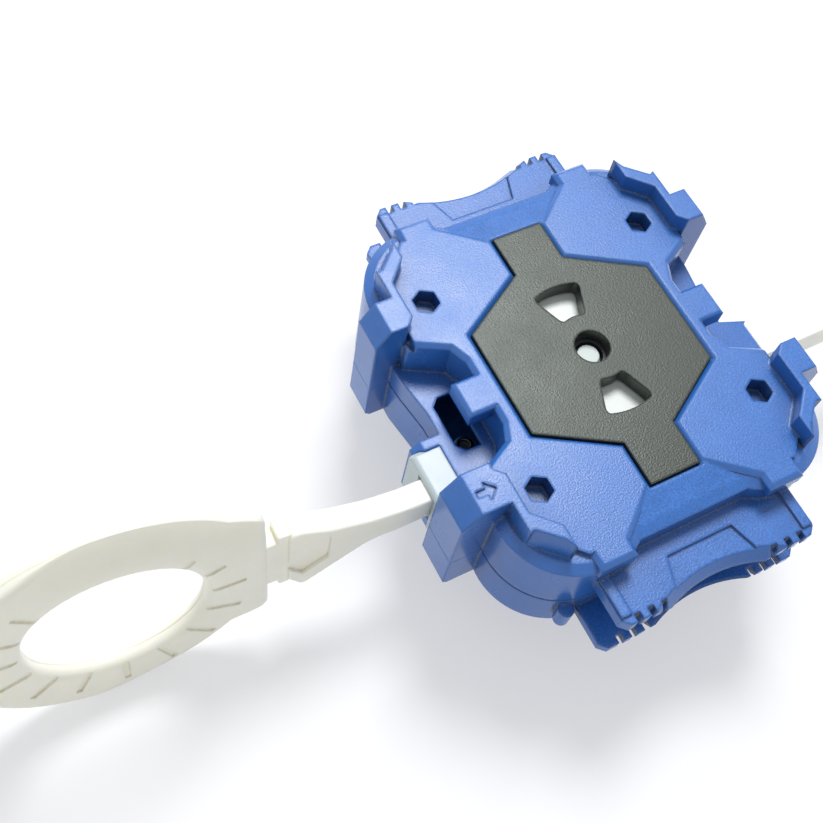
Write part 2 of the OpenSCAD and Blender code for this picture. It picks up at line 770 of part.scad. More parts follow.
// Two collar steps and the tapered neck, with a recessed panel in front
step_half1 = 6.6;
step_half2 = 8.2;
neck_top = 9.2;
neck_low = 6.9;
toe_x = 58.4;
toe_drop = 10.4;
neck_turn_x = 53.4;
neck_turn_top = 5.4;
neck_step_in = 0.6;
neck_panel_deep = 0.5;
neck_panel_x = 53.7;
neck_panel_top = 4.6;
neck_panel_low = 2.8;
neck_panel_toe = 6.3;
neck_panel_end = 3.6;
module neck() {
    x0 = -ring_x + flat_x;
    x1 = x0 + collar_len;
    outline = [[x1, strip_mid - neck_low], [-toe_x, strip_mid - toe_drop], [-neck_end_x, strip_low],
        [-neck_end_x, strip_top], [-neck_turn_x, strip_mid + neck_turn_top], [x1, strip_mid + neck_top]];
    along_y(-strip_front_y + neck_step_in, -strip_back_y) polygon([[x0 - overlap, strip_mid - step_half1],
        [x0 + collar_len / 2, strip_mid - step_half1], [x0 + collar_len / 2, strip_mid - step_half2],
        [x1 + overlap, strip_mid - step_half2], [x1 + overlap, strip_mid + step_half2],
        [x0 + collar_len / 2, strip_mid + step_half2], [x0 + collar_len / 2, strip_mid + step_half1],
        [x0 - overlap, strip_mid + step_half1]]);
    difference() {
        along_y(-strip_front_y, -strip_back_y) polygon(outline);
        along_y(-strip_front_y - cut, -strip_front_y + neck_panel_deep) polygon([
            [x1 - cut, strip_mid + neck_panel_top], [x1 - cut, strip_mid - neck_panel_low],
            [-toe_x, strip_mid - neck_panel_toe], [-neck_panel_x, strip_mid - neck_panel_end],
            [-neck_panel_x, strip_mid + neck_panel_top]]);
    }
}

module winder() {
    thick = strip_front_y - strip_back_y;
    color(winder_cream) {
        strip_box(-flex_x - overlap, strip_end_x, strip_low, strip_top, web_t);
        strip_box(-flex_x - overlap, strip_end_x, strip_low, strip_low + rail_h, thick);
        strip_box(-flex_x - overlap, strip_end_x, strip_top - rail_h, strip_top, thick);
        between(strip_low + rail_h / 2, strip_top - rail_h / 2) for (i = [0 : rack_count])
            translate([(rack_first + i) * rack_pitch, 0]) rack_tooth();
        strip_box(-flex_x - overlap, rack_start, strip_low, strip_top, thick);
        flexed() {
            handle_ring();
            neck();
            strip_box(-neck_end_x - overlap, -flex_x, strip_low, strip_top, thick);
        }
    }
}

// Drive gear: involute teeth, with the indicator disc and its hub above them
function involute(r, base) = sqrt(max(0, r * r / (base * base) - 1));
function flank_angle(r, base) = let (t = involute(r, base)) t * 180 / PI - atan(t);
base_r = pitch_r * cos(pressure_angle);
tip_r = pitch_r + tooth_addendum;
root_r = pitch_r - tooth_dedendum;
gear_half_angle = tooth_half / pitch_r * 180 / PI;
gear_top = strip_top - rail_h - clear;
gear_teeth_low = strip_low + rail_h + clear;
gear_boss = 0.7;
gear_low = gear_teeth_low - gear_boss;
flank_steps = 5;
gear_foot = 0.4;
gear_bore = spindle_r + run_gap;
disc_z = -disc_drop;
hub_r = 5.4;
hub_cup_r = 8;
hub_floor = 0.6;
washer_t = 0.5;
washer_gap = 0.2;
pocket_r = tube_r + clear;
pocket_z = bush_low - washer_t - washer_gap;

module gear_plan() {
    start_r = max(base_r, root_r);
    circle(root_r, $fn = 56);
    for (i = [0 : gear_teeth - 1]) rotate(-90 + i * 360 / gear_teeth) {
        foot_angle = gear_half_angle + flank_angle(pitch_r, base_r);
        half = [for (k = [0 : flank_steps]) let (r = start_r + k * (tip_r - start_r) / flank_steps,
            a = foot_angle - flank_angle(r, base_r)) [r * cos(a), r * sin(a)]];
        polygon(concat([[root_r - gear_foot, -root_r * sin(foot_angle)]], [for (p = half) [p.x, -p.y]],
            [for (k = [flank_steps : -1 : 0]) half[k]], [[root_r - gear_foot, root_r * sin(foot_angle)]]));
    }
}

// Ratchet teeth, sloped on one side, on the gear's lower face and on the ratchet ring
ratchet_n = 8;
ratchet_in_r = 3.8;
ratchet_w = 1.3;
ratchet_len = 1.2;
ratchet_h = click_travel - clear;
ratchet_phase = 2;
ratchet_gap = 0.15;
ratchet_sink = 0.2;
module ratchet(z, up, phase) {
    for (i = [0 : ratchet_n - 1]) rotate(phase + i * 360 / ratchet_n) translate([ratchet_in_r, 0, z])
        rotate([90, 0, 90]) linear_extrude(ratchet_w)
            polygon(up ? [[0, -ratchet_sink], [ratchet_len, -ratchet_sink], [0, ratchet_h]]
                : [[0, ratchet_sink], [-ratchet_len, ratchet_sink], [0, -ratchet_h]]);
}

module drive_gear() {
    color(inner_white) {
        difference() {
            union() {
                rod(disc_z - disc_t, disc_z, disc_r, 96);
                rod(pocket_z - hub_floor, disc_z - disc_t + washer_gap, hub_cup_r, 64);
                rod(gear_top - cut, pocket_z, hub_r, 64);
                between(gear_teeth_low, gear_top) gear_plan();
                rod(gear_low, gear_teeth_low + cut, hub_r, 64);
            }
            rod(pocket_z, disc_z + cut, pocket_r, 64);
            rod(gear_low - cut, pocket_z + cut, gear_bore);
        }
        ratchet(gear_low, false, 0);
    }
}

washer_rim = 0.2;
module thrust_washer() {
    color(steel_grey) difference() {
        rod(bush_low - washer_t, bush_low, tube_r - washer_rim, 64);
        rod(bush_low - washer_t - cut, bush_low + cut, gear_bore);
    }
}

module upper_bush() {
    color(bush_black) difference() {
        rod(bush_low, bush_top, bush_r, 64);
        rod(bush_low - cut, bush_top + cut, gear_bore);
    }
}

module lower_bush() {
    color(bush_bronze) difference() {
        union() {
            rod(bottom_z, floor_z, bore_r + bush_wall, 96);
            rod(floor_z, floor_z + bush_flange_t, bore_r + bush_wall + bush_flange, 96);
        }
        rod(bottom_z - cut, floor_z + bush_flange_t + cut, bore_r, 96);
    }
}

// One-way clutch: a keyed ratchet ring that a spring presses up against the gear
dog_r = 6.4;
dog_t = 1.8;
dog_ring = 0.8;
dog_z = gear_low - ratchet_h - ratchet_gap;
dog_low = dog_z - dog_t;
pocket_low = dog_low + dog_t - dog_ring;
spring_pocket_r = 5.4;
collar_gap = 0.1;
collar_r = 10;
collar_h = 1;
collar_low = floor_z + bush_flange_t + collar_gap;
collar_top = collar_low + collar_h;
key_r = 3.5;
key_gap = 0.1;
key_drop = 0.5;
collar_screw_x = 6.7;
collar_screw_r = 0.8;
collar_screw_len = 2.5;
collar_screw_gap = 0.2;
collar_head_r = 1.5;
collar_head_t = 0.8;
driver_w = 0.4;

module clutch_dog() {
    color(dark_plastic) {
        difference() {
            rod(dog_low, dog_z, dog_r, 64);
            rod(dog_low - cut, dog_z + cut, key_r + key_gap, 6);
            rod(dog_low - cut, pocket_low, spring_pocket_r);
        }
        ratchet(dog_z, true, ratchet_phase);
    }
}

module two_sides() {
    for (s = [0, 180]) rotate(s) children();
}

module clutch_collar() {
    color(dark_plastic) difference() {
        union() {
            rod(collar_low, collar_top, collar_r, 64);
            rod(collar_low, dog_z - key_drop, key_r, 6);
        }
        rod(collar_low - cut, dog_z, gear_bore);
        two_sides() translate([collar_screw_x, 0])
            rod(collar_low - cut, collar_top + cut, collar_screw_r + collar_screw_gap, 24);
    }
}

module collar_screws() {
    color(steel_grey) two_sides() translate([collar_screw_x, 0]) {
        rod(collar_low - collar_screw_len, collar_top, collar_screw_r, 24);
        difference() {
            rod(collar_top, collar_top + collar_head_t, collar_head_r, 24);
            translate([-collar_head_r - cut, -driver_w / 2, collar_top + collar_head_t / 2])
                cube([2 * collar_head_r + 2 * cut, driver_w, collar_head_t]);
        }
    }
}

// Hollow spindle and the prong holder that it is set into
spindle_top = bush_top - 1.2;
pin_pocket_r = 3.8;
pin_pocket_z = collar_low - 1.5;
holder_gap = 0.5;
holder_t = 2;
holder_top = bottom_z - holder_gap;
holder_low = holder_top - holder_t;
prong_z = -prong_drop;
prong_in_r = 10.4;
prong_half = 26;
lug_start = 20;
lug_end = 42;
lug_h = 2.4;
foot_half = 20;
foot_h = 3;
foot_t = 1;
foot_lap = 0.2;
screw_bite = 0.02;
hole_extra = 0.3;

module spindle() {
    color(steel_grey) difference() {
        rod(pin_pocket_z, spindle_top, spindle_r);
        rod(pin_pocket_z - cut, spindle_top + cut, pin_r + run_gap, 32);
    }
}

// A curved wall between two radii and two angles
module arc_wall(r1, r2, a1, a2) {
    far = 2 * r2;
    mid = (a1 + a2) / 2;
    intersection() {
        difference() {
            circle(r2, $fn = 96);
            circle(r1, $fn = 96);
        }
        polygon([[0, 0], [far * cos(a1), far * sin(a1)], [far * cos(mid), far * sin(mid)],
            [far * cos(a2), far * sin(a2)]]);
    }
}

module prong_holder() {
    prong_out_r = prong_in_r + prong_t;
    color(case_blue) difference() {
        union() {
            rod(holder_low, collar_low, neck_r, 96);
            rod(holder_low, holder_top, holder_r, 96);
            two_sides() {
                between(prong_z, holder_low + cut) arc_wall(prong_in_r, prong_out_r, -prong_half, prong_half);
                between(prong_z, prong_z + lug_h) arc_wall(prong_in_r, prong_out_r, lug_start, lug_end);
                between(holder_low - foot_h, holder_low + cut)
                    arc_wall(prong_in_r - foot_t, prong_in_r + foot_lap, -foot_half, foot_half);
            }
        }
        rod(holder_low - cut, pin_pocket_z, pin_pocket_r);
        rod(pin_pocket_z - cut, collar_low + cut, gear_bore);
        two_sides() translate([collar_screw_x, 0])
            rod(collar_low - collar_screw_len - hole_extra, collar_low + cut, collar_screw_r + screw_bite, 24);
    }
}

// Ejector pin in the spindle, with its head in the centre hole, its cap below and its spring
pin_head_r = 1.95;
pin_head_t = 1.0;
cap_r = 3.3;
cap_t = 1.5;
cap_lift = 5;
cap_low = prong_z + cap_lift;
cap_skin = 0.5;
cap_gap = 0.02;

module push_pin() {
    color(inner_white) {
        rod(spindle_top, spindle_top + pin_head_t, pin_head_r);
        rod(cap_low + cap_skin, spindle_top + pin_head_t / 2, pin_r, 32);
    }
}

module pin_cap() {
    color(inner_white) difference() {
        rod(cap_low, cap_low + cap_t, cap_r);
        rod(cap_low + cap_skin, cap_low + cap_t + cut, pin_r + cap_gap, 32);
    }
}

// A round wire spring as one unbroken tube, whose gap between turns is printed
spring_gap = 0.02;
module coil(z_low, z_high, mean_r, wire, turns) {
    sides = 6;
    rings = 8;
    last = turns * rings;
    lead = 360 / rings;
    rise = (z_high - z_low - wire) / last;
    echo(spring_gap_mm = rise * rings - wire);
    function place(k) = [mean_r * cos(k * lead), mean_r * sin(k * lead), z_low + wire / 2 + k * rise];
    points = [for (k = [0 : last], j = [0 : sides - 1]) let (a = k * lead, b = j * 360 / sides, q = wire / 2)
        place(k) + [q * cos(b) * cos(a), q * cos(b) * sin(a), q * sin(b)]];
    ends = [[for (j = [0 : sides - 1]) j], [for (j = [sides - 1 : -1 : 0]) last * sides + j]];
    polyhedron(points, concat(ends, [for (k = [0 : last - 1], j = [0 : sides - 1], h = [0, 1])
        let (a = k * sides + j, b = k * sides + (j + 1) % sides)
            h == 0 ? [a, a + sides, b + sides] : [a, b + sides, b]]));
}

clutch_coil_r = 4.4;
clutch_turns = 2;
module clutch_spring() {
    color(steel_grey) coil(collar_top + spring_gap, pocket_low - spring_gap, clutch_coil_r, clutch_wire,
        clutch_turns);
}

pin_coil_r = 2.7;
pin_turns = 6;
module pin_spring() {
    color(steel_grey) coil(cap_low + cap_t + spring_gap, pin_pocket_z - spring_gap, pin_coil_r, pin_wire,
        pin_turns);
}

case_screw_grip = 5;
module case_screws() {
    head_z = bottom_z + head_recess;
    color(steel_grey) at_screws() {
        rod(head_z, head_z + screw_head_t, screw_head_r, 32);
        rod(head_z + screw_head_t / 2, part_z + case_screw_grip, pilot_r - thread_bite, 24);
    }
}

module guide_screw() {
    color(steel_grey) translate([-vent_boss_x, -vent_boss_y]) {
        rod(vent_boss_top, vent_boss_top + vent_head_t, vent_head_r, 32);
        rod(vent_boss_top - vent_screw_len, vent_boss_top + vent_head_t / 2, vent_screw_r, 24);
    }
}

upper_case();
lower_case();
badge_plate();
winder_guide();
winder();
drive_gear();
thrust_washer();
upper_bush();
lower_bush();
spindle();
clutch_dog();
clutch_spring();
clutch_collar();
collar_screws();
prong_holder();
push_pin();
pin_cap();
pin_spring();
case_screws();
guide_screw();
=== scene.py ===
import json
import math
import bmesh
import bpy
from mathutils import Euler, Matrix, Vector


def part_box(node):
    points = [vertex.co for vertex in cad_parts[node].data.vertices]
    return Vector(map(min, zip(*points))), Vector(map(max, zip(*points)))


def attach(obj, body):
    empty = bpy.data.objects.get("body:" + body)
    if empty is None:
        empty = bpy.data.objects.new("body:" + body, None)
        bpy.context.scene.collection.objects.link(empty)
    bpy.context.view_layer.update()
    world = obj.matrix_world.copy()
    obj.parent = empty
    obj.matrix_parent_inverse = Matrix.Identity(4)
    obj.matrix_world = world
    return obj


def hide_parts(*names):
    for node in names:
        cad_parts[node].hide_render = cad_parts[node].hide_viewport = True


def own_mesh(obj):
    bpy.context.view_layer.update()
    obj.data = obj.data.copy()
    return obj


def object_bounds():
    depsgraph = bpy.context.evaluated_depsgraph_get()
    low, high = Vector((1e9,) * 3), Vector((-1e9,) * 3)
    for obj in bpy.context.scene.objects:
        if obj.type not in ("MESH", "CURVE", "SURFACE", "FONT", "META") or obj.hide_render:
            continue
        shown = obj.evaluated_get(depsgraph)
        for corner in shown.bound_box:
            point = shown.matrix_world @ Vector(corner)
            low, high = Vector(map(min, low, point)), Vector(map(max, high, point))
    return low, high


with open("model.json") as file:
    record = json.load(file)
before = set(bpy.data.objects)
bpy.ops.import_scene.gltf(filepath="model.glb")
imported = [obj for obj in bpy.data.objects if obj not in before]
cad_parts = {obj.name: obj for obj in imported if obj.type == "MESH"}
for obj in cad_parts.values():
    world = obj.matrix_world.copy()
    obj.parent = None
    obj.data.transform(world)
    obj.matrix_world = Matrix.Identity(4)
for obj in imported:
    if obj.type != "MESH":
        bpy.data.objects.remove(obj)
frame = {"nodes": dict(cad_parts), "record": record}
cad_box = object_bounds()
scene = bpy.context.scene
scene.view_settings.view_transform = "Standard"
MM = 0.001

# The camera looks down on the launcher from the finger-ring side, a little in front of the case.
# Its place and lens follow the perspective of the case's deck and corner ridges.
LENS_PX = 1167.3
FRAME_PX = 823
SENSOR_MM = 36
CAMERA_AT_MM = (-92.9, -69.3, 165.0)
CAMERA_TURN_DEG = (28.40, -6.63, -27.59)
camera_data = bpy.data.cameras.new("camera")
camera_data.sensor_width = SENSOR_MM
camera_data.lens = SENSOR_MM * LENS_PX / FRAME_PX
camera_data.clip_start = 10 * MM
camera = bpy.data.objects.new("camera", camera_data)
camera.location = Vector(CAMERA_AT_MM) * MM
camera.rotation_euler = [math.radians(a) for a in CAMERA_TURN_DEG]
scene.collection.objects.link(camera)
scene.camera = camera

# A broad soft window light stands behind the launcher, so the decks catch its sheen and the shadows
# fall towards the viewer. The room is dimmer, and its white walls are seen in the gloss.
WINDOW_FROM = (0.155, 0.268, 0.583)
WINDOW_SIZE = 0.24
WINDOW_WATTS = 3.7
ROOM_HEX = "F6F8FC"
ROOM_BRIGHT = 0.72
ROOM_DIM = 0.52
ROOM_BLEND = 0.8


def linear(hex_colour):
    """An sRGB hex colour as linear RGBA."""
    parts = [int(hex_colour[i:i + 2], 16) / 255 for i in (0, 2, 4)]
    return [c / 12.92 if c <= 0.04045 else ((c + 0.055) / 1.055) ** 2.4 for c in parts] + [1.0]


def add_node(tree, kind, links=(), **settings):
    """Adds a shader node, with links as (input, socket) and settings as inputs or properties."""
    node = tree.nodes.new(kind)
    for key, value in settings.items():
        name = key.replace("_", " ").title()
        if name in node.inputs:
            node.inputs[name].default_value = value
        else:
            setattr(node, key, value)
    for target, source in links:
        tree.links.new(source, node.inputs[target])
    return node


def seen_share(tree):
    """1 for what the camera, a gloss or a clear piece sees, and 0 for what only gives light."""
    ray = add_node(tree, "ShaderNodeLightPath").outputs
    seen = add_node(tree, "ShaderNodeMath", [(0, ray["Is Camera Ray"]), (1, ray["Is Glossy Ray"])],
                    operation="MAXIMUM")
    return add_node(tree, "ShaderNodeMath", [(0, seen.outputs[0]), (1, ray["Is Transmission Ray"])],
                    operation="MAXIMUM").outputs[0]


lamp_data = bpy.data.lights.new("window", "AREA")
lamp_data.shape = "DISK"
lamp_data.size = WINDOW_SIZE
lamp_data.energy = WINDOW_WATTS
lamp = bpy.data.objects.new("window", lamp_data)
lamp.location = WINDOW_FROM
lamp.rotation_euler = Vector(WINDOW_FROM).to_track_quat("Z", "Y").to_euler()
scene.collection.objects.link(lamp)

world = bpy.data.worlds.new("room")
scene.world = world
world.use_nodes = True
air = world.node_tree
walls = air.nodes["Background"]
walls.inputs["Color"].default_value = linear(ROOM_HEX)
direction = add_node(air, "ShaderNodeTexCoord").outputs["Generated"]
towards = add_node(air, "ShaderNodeSeparateXYZ", [(0, direction)])
level = add_node(air, "ShaderNodeMapRange", [("Value", towards.outputs["Y"])],
                 From_Min=-ROOM_BLEND, From_Max=ROOM_BLEND, To_Min=ROOM_DIM, To_Max=ROOM_BRIGHT)
air.links.new(level.outputs["Result"], walls.inputs["Strength"])
backdrop = add_node(air, "ShaderNodeBackground", Color=(1, 1, 1, 1), Strength=1.0)
mixed = add_node(air, "ShaderNodeMixShader",
                 [(0, seen_share(air)), (1, walls.outputs[0]), (2, backdrop.outputs[0])])
air.links.new(mixed.outputs[0], air.nodes["World Output"].inputs["Surface"])

# The table is a sheet of white card under the launch prongs and the ring. To the eye it is partly
# plain white, so the launcher's shadow on it stays light.
TABLE_HEX = "F3F3F5"
TABLE_SIZE = 3.0
TABLE_ROUGHNESS = 0.75
TABLE_WHITE = 0.45
# Card: an even matt white with no pattern to see at this size.
table_card = bpy.data.materials.new("white_card")
table_card.use_nodes = True
card = table_card.node_tree
card_shader = card.nodes["Principled BSDF"]
card_shader.inputs["Base Color"].default_value = linear(TABLE_HEX)
card_shader.inputs["Roughness"].default_value = TABLE_ROUGHNESS
card_share = add_node(card, "ShaderNodeMath", [(0, seen_share(card))], operation="MULTIPLY")
card_share.inputs[1].default_value = TABLE_WHITE
card_white = add_node(card, "ShaderNodeEmission", Color=(1, 1, 1, 1), Strength=1.0)
card_mix = add_node(card, "ShaderNodeMixShader", [(0, card_share.outputs[0]),
                                                  (1, card_shader.outputs[0]),
                                                  (2, card_white.outputs[0])])
card.links.new(card_mix.outputs[0], card.nodes["Material Output"].inputs["Surface"])
bpy.ops.object.select_all(action="DESELECT")
bpy.ops.mesh.primitive_plane_add(size=TABLE_SIZE, location=(0, 0, cad_box[0][2]))
table = bpy.context.object
table.name = "table"
bpy.ops.object.transform_apply(location=True)
table.data.materials.append(table_card)

# The case shells are injection-moulded blue ABS, screwed together under the four hexagon pockets.
# The flat faces carry the grain of a spark-eroded mould, and the sides are smoother.
CASE_HEX = "3069B6"
CASE_GRAIN_MM = 0.32
CASE_ROUND_MM = 0.7
# The grime colour also paints shade into the corners.
CASE_GRIME_AND_SHADE_HEX = "23262F"
MERGE_MM = 0.002
SMOOTH_DEG = 28
CLOUD_MM = 9
# How far the painted shade and dirt film in recesses reach.
SOIL_AND_SHADE_REACH_MM = 7
SCRATCH_MM = (0.4, 5, 5)
SCRATCH_TURN = (0.3, 0.5, 0.9)
# How far grime and painted shade reach from a corner, and the size of their patches.
GRIME_AND_SHADE_REACH_MM = 1.6
GRIME_AND_SHADE_PATCH_MM = 1.2
DUST_HEX = "B9BCB4"
DUST_MM = 0.45
SIDE_GRAIN = 0.12
SIDE_GLOSS = 0.09
PLASTIC_IOR = 1.53


def select_only(piece):
    """Makes a piece the active object and the only one selected."""
    bpy.ops.object.select_all(action="DESELECT")
    piece.select_set(True)
    bpy.context.view_layer.objects.active = piece


def whole_copy(node_name, piece_name):
    """A copy of a CAD node with its triangles joined at their corners."""
    copy = frame["nodes"][node_name].copy()
    copy.data = copy.data.copy()
    copy.name = piece_name
    copy.data.name = piece_name
    scene.collection.objects.link(copy)
    select_only(copy)
    bpy.ops.mesh.customdata_custom_splitnormals_clear()
    bpy.ops.object.mode_set(mode="EDIT")
    bpy.ops.mesh.select_all(action="SELECT")
    bpy.ops.mesh.remove_doubles(threshold=MERGE_MM * MM)
    bpy.ops.object.mode_set(mode="OBJECT")
    return copy


def smooth(piece, angle=SMOOTH_DEG):
    """Shades a piece's curves smooth and keeps its flats flat."""
    select_only(piece)
    bpy.ops.object.shade_smooth_by_angle(angle=math.radians(angle))
    flats = piece.modifiers.new("flat faces", "WEIGHTED_NORMAL")
    flats.keep_sharp = True
    bpy.ops.object.modifier_apply(modifier=flats.name)
    return piece


def dress(piece, material, body, node_name):
    """Gives a finished piece its material and its place in the launcher."""
    piece.data.materials.clear()
    piece.data.materials.append(material)
    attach(piece, body)
    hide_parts(node_name)


def blend(tree, colour, amount, over):
    """Lays another colour over a surface by an amount from 0 to 1."""
    mix = add_node(tree, "ShaderNodeMix", [("Factor", amount)], data_type="RGBA")
    mix.inputs[7].default_value = over
    tree.links.new(colour, mix.inputs[6])
    return mix.outputs[2]


def shade(tree, colour, level):
    """Makes a colour darker or lighter by a level around 1."""
    mix = add_node(tree, "ShaderNodeMix", data_type="RGBA", blend_type="MULTIPLY")
    mix.inputs[0].default_value = 1.0
    tree.links.new(colour, mix.inputs[6])
    tree.links.new(level, mix.inputs[7])
    return mix.outputs[2]


def finish(name, hex_colour, roughness, grain_mm, grain_height_mm, round_mm, mottle,
           grime_and_shade_hex=None, scratch=0.0, dust=0.0, painted_sparkle=0.0, soil_and_shade=0.0, smooth_sides=False,
           metallic=0.0):
    """A material with grain, rounded edges, faint clouds, a painted sparkle on its grain, painted
    shade with dirt in its recesses, and grime, painted shade and dust in its corners.
    """
    material = bpy.data.materials.new(name)
    material.use_nodes = True
    tree = material.node_tree
    shader = tree.nodes["Principled BSDF"]
    place = add_node(tree, "ShaderNodeTexCoord").outputs["Object"]
    grain = add_node(tree, "ShaderNodeTexNoise", [("Vector", place)], Scale=1 / (grain_mm * MM),
                     Detail=2.0, Roughness=0.6)
    cloud = add_node(tree, "ShaderNodeTexNoise", [("Vector", place)], Scale=1 / (CLOUD_MM * MM),
                     Detail=6.0, Roughness=0.62)
    base = linear(hex_colour)
    tone = add_node(tree, "ShaderNodeValToRGB", [("Fac", cloud.outputs["Fac"])])
    tone.color_ramp.elements[0].position = 0.34
    tone.color_ramp.elements[0].color = [c * (1 - mottle) for c in base[:3]] + [1]
    tone.color_ramp.elements[1].position = 0.66
    tone.color_ramp.elements[1].color = [min(1, c * (1 + mottle)) for c in base[:3]] + [1]
    colour = tone.outputs["Color"]
    gloss = add_node(tree, "ShaderNodeMapRange", [("Value", cloud.outputs["Fac"])],
                     From_Min=0.3, From_Max=0.7, To_Min=roughness - 0.05,
                     To_Max=roughness + 0.06).outputs["Result"]
    height = grain.outputs["Fac"]
    if smooth_sides:
        # The grain is full on faces that look up, and nearly flat at its middle height elsewhere.
        normal = add_node(tree, "ShaderNodeTexCoord").outputs["Normal"]
        facing = add_node(tree, "ShaderNodeSeparateXYZ", [(0, normal)])
        upward = add_node(tree, "ShaderNodeMapRange", [("Value", facing.outputs["Z"])],
                          From_Min=0.80, From_Max=0.96, To_Min=SIDE_GRAIN,
                          To_Max=1.0).outputs["Result"]
        centred = add_node(tree, "ShaderNodeMath", [(0, height)], operation="SUBTRACT")
        centred.inputs[1].default_value = 0.5
        kept = add_node(tree, "ShaderNodeMath", [(0, centred.outputs[0]), (1, upward)],
                        operation="MULTIPLY")
        raised = add_node(tree, "ShaderNodeMath", [(0, kept.outputs[0])], operation="ADD")
        raised.inputs[1].default_value = 0.5
        height = raised.outputs[0]
        matt = add_node(tree, "ShaderNodeMapRange", [("Value", upward)], From_Min=SIDE_GRAIN,
                        From_Max=1.0, To_Min=-SIDE_GLOSS, To_Max=0.0)
        gloss = add_node(tree, "ShaderNodeMath", [(0, gloss), (1, matt.outputs["Result"])],
                         operation="ADD").outputs[0]
    if painted_sparkle:
        # Painted sparkle: the colour is lighter on the grain's peaks and darker in its dips.
        sparkle = add_node(tree, "ShaderNodeMapRange", [("Value", height)], From_Min=0.35,
                           From_Max=0.68, To_Min=1 - painted_sparkle, To_Max=1 + painted_sparkle)
        colour = shade(tree, colour, sparkle.outputs["Result"])
    if soil_and_shade:
        # Painted shade, with some dirt film: the colour darkens where the surface lies deep in a
        # recess.
        hollow = add_node(tree, "ShaderNodeAmbientOcclusion", Distance=SOIL_AND_SHADE_REACH_MM * MM,
                          samples=8, only_local=True)
        soil_and_shade_level = add_node(tree, "ShaderNodeMapRange", [("Value", hollow.outputs["AO"])],
                        From_Min=0.25, From_Max=0.9, To_Min=1 - soil_and_shade, To_Max=1.0)
        colour = shade(tree, colour, soil_and_shade_level.outputs["Result"])
    if scratch:
        stretch = add_node(tree, "ShaderNodeMapping", [("Vector", place)], Rotation=SCRATCH_TURN,
                           Scale=[1 / (size * MM) for size in SCRATCH_MM])
        lines = add_node(tree, "ShaderNodeTexNoise", [("Vector", stretch.outputs["Vector"])],
                         Scale=1.0, Detail=3.0, Distortion=0.6)
        worn = add_node(tree, "ShaderNodeMapRange", [("Value", lines.outputs["Fac"])],
                        From_Min=0.66, From_Max=0.80, To_Min=0.0, To_Max=scratch)
        pale = [min(1, c * 0.6 + 0.35) for c in base[:3]] + [1]
        colour = blend(tree, colour, worn.outputs["Result"], pale)
    if grime_and_shade_hex:
        # Grime and painted shade: the colour darkens in patches in tight corners, where shade
        # falls.
        corner = add_node(tree, "ShaderNodeAmbientOcclusion", Distance=GRIME_AND_SHADE_REACH_MM * MM,
                          samples=8, only_local=True)
        patchy = add_node(tree, "ShaderNodeTexNoise", [("Vector", place)],
                          Scale=1 / (GRIME_AND_SHADE_PATCH_MM * MM), Detail=4.0, Roughness=0.7)
        depth = add_node(tree, "ShaderNodeMapRange", [("Value", corner.outputs["AO"])],
                         From_Min=0.66, From_Max=0.22, To_Min=0.0, To_Max=1.0)
        patch = add_node(tree, "ShaderNodeMapRange", [("Value", patchy.outputs["Fac"])],
                         From_Min=0.35, From_Max=0.62, To_Min=0.2, To_Max=0.95)
        amount = add_node(tree, "ShaderNodeMath", [(0, depth.outputs["Result"]),
                                                   (1, patch.outputs["Result"])],
                          operation="MULTIPLY")
        colour = blend(tree, colour, amount.outputs[0], linear(grime_and_shade_hex))
        if dust:
            specks = add_node(tree, "ShaderNodeTexNoise", [("Vector", place)],
                              Scale=1 / (DUST_MM * MM), Detail=1.0)
            loose = add_node(tree, "ShaderNodeMapRange", [("Value", specks.outputs["Fac"])],
                             From_Min=0.66, From_Max=0.73, To_Min=0.0, To_Max=dust)
            near = add_node(tree, "ShaderNodeMapRange", [("Value", corner.outputs["AO"])],
                            From_Min=0.95, From_Max=0.45, To_Min=0.06, To_Max=1.0)
            lying = add_node(tree, "ShaderNodeMath", [(0, loose.outputs["Result"]),
                                                      (1, near.outputs["Result"])],
                             operation="MULTIPLY")
            colour = blend(tree, colour, lying.outputs[0], linear(DUST_HEX))
    edges = add_node(tree, "ShaderNodeBevel", Radius=round_mm * MM, samples=6)
    surface = add_node(tree, "ShaderNodeBump",
                       [("Height", height), ("Normal", edges.outputs["Normal"])],
                       Strength=1.0, Distance=grain_height_mm * MM)
    tree.links.new(colour, shader.inputs["Base Color"])
    tree.links.new(gloss, shader.inputs["Roughness"])
    tree.links.new(surface.outputs["Normal"], shader.inputs["Normal"])
    shader.inputs["Metallic"].default_value = metallic
    if not metallic:
        shader.inputs["IOR"].default_value = PLASTIC_IOR
    return material


# Moulded ABS: a satin skin, whose grain breaks the window's sheen into a fine sparkle. The real
# grain is finer than a pixel, so it is drawn coarser.
# Its colour carries a painted sparkle on the grain, painted shade with some dirt in its recesses,
# and grime with painted shade in its corners.
case_blue = finish("blue_abs_moulded", CASE_HEX, roughness=0.33, grain_mm=CASE_GRAIN_MM,
                   grain_height_mm=0.045, round_mm=CASE_ROUND_MM, mottle=0.06,
                   grime_and_shade_hex=CASE_GRIME_AND_SHADE_HEX, scratch=0.10, dust=0.55, painted_sparkle=0.24, soil_and_shade=0.5,
                   smooth_sides=True)
dress(smooth(whole_copy("upper_case", "upper_shell")), case_blue, "case", "upper_case")
dress(smooth(whole_copy("lower_case", "lower_shell")), case_blue, "case", "lower_case")

# The plate is a matt black ABS moulding dropped into the groove of the deck. The gear's white disc
# is seen through its two windows, whose corners are soft.
PLATE_HEX = "2A2E29"
PLATE_SHEEN_HEX = "EDF6F0"
# The grime colour also paints shade into the corners.
PLATE_GRIME_AND_SHADE_HEX = "12130E"
WINDOW_RADII_MM = (6.5, 13.1)
WINDOW_HALF_DEG = 21
WINDOW_CORNER_MM = 1.1
FLAT_DEG = 0.4


